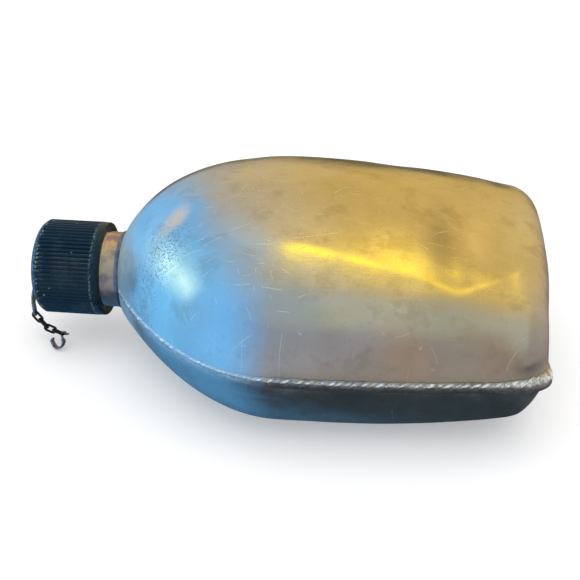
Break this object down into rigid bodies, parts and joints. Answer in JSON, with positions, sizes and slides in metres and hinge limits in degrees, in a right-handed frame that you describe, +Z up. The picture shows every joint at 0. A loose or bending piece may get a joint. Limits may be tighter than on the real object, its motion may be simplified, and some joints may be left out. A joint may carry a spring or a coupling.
{
  "type": "canteen",
  "caption": "Kidney-shaped metal canteen of two welded half shells, with a threaded neck and a ribbed screw cap that carries a short chain and hook.",
  "frame": {"origin": "centre of the whole object's box in plan, on the surface that it lies on", "axes": "+Z up, the front of the canteen facing up; X along the neck axis, cap at -X and base at +X; Y across the width"},
  "size_m": [0.2061, 0.1418, 0.0752],
  "materials": {
    "shell_metal": "worn satin, bare, with fine scratches and small dents",
    "weld_metal": "rippled weld bead, lightly filed",
    "neck_metal": "turned and dulled by handling",
    "cap_plastic": "black moulded phenolic, semi-matt, ribs scuffed",
    "gasket_rubber": "aged rubber-faced cork",
    "strap_metal": "dull plated spring steel",
    "link_metal": "blackened wire, dull and slightly rusty"
  },
  "bodies": {
    "canteen": {"front_shell": "shell_metal", "back_shell": "shell_metal", "seam_weld": "weld_metal", "neck": "neck_metal", "neck_weld": "weld_metal"},
    "pin": {"cap_pin": "strap_metal", "pin_washer": "strap_metal"},
    "cap": {"cap_shell": "cap_plastic", "cap_gasket": "gasket_rubber"},
    "strap": {"chain_strap": "strap_metal"},
    "chain_1": {"link_1": "link_metal"},
    "chain_2": {"link_2": "link_metal"},
    "chain_3": {"link_3": "link_metal"},
    "chain_4": {"link_4": "link_metal"},
    "hook": {"end_hook": "strap_metal"}
  },
  "joints": [
    {"name": "cap_lift", "type": "slide", "parent": "canteen", "child": "pin", "axis": [-1, 0, 0], "range_m": [0, 0.008]},
    {"name": "cap_turn", "type": "hinge", "parent": "pin", "child": "cap", "pos_m": [-0.09995, 0, 0.0324], "axis": [-1, 0, 0], "range_deg": [0, 700]},
    {"name": "strap_swivel", "type": "hinge", "parent": "pin", "child": "strap", "pos_m": [-0.09995, 0, 0.0324], "axis": [-1, 0, 0], "range_deg": [-60, 60]},
    {"name": "link_1_swing", "type": "hinge", "parent": "strap", "child": "chain_1", "pos_m": [-0.1014, -0.00856, 0.01333], "axis": [0, 0.9122, -0.4098], "range_deg": [-18, 25]},
    {"name": "link_2_swing", "type": "hinge", "parent": "chain_1", "child": "chain_2", "pos_m": [-0.0988, -0.00961, 0.011], "axis": [0.7009, 0.2923, 0.6506], "range_deg": [-20, 20]},
    {"name": "link_3_swing", "type": "hinge", "parent": "chain_2", "child": "chain_3", "pos_m": [-0.09619, -0.01066, 0.00867], "axis": [0, 0.9122, -0.4098], "range_deg": [-18, 25]},
    {"name": "link_4_swing", "type": "hinge", "parent": "chain_3", "child": "chain_4", "pos_m": [-0.09275, -0.01116, 0.00756], "axis": [0.3338, 0.3863, 0.8599], "range_deg": [-20, 20]},
    {"name": "hook_swing", "type": "hinge", "parent": "chain_4", "child": "hook", "pos_m": [-0.08931, -0.01166, 0.00645], "axis": [0, 0.9122, -0.4098], "range_deg": [-15, 12]}
  ],
  "couplings": [
    {"joint": "cap_lift", "follows": "cap_turn", "m_per_rad": 0.00063662}
  ]
}
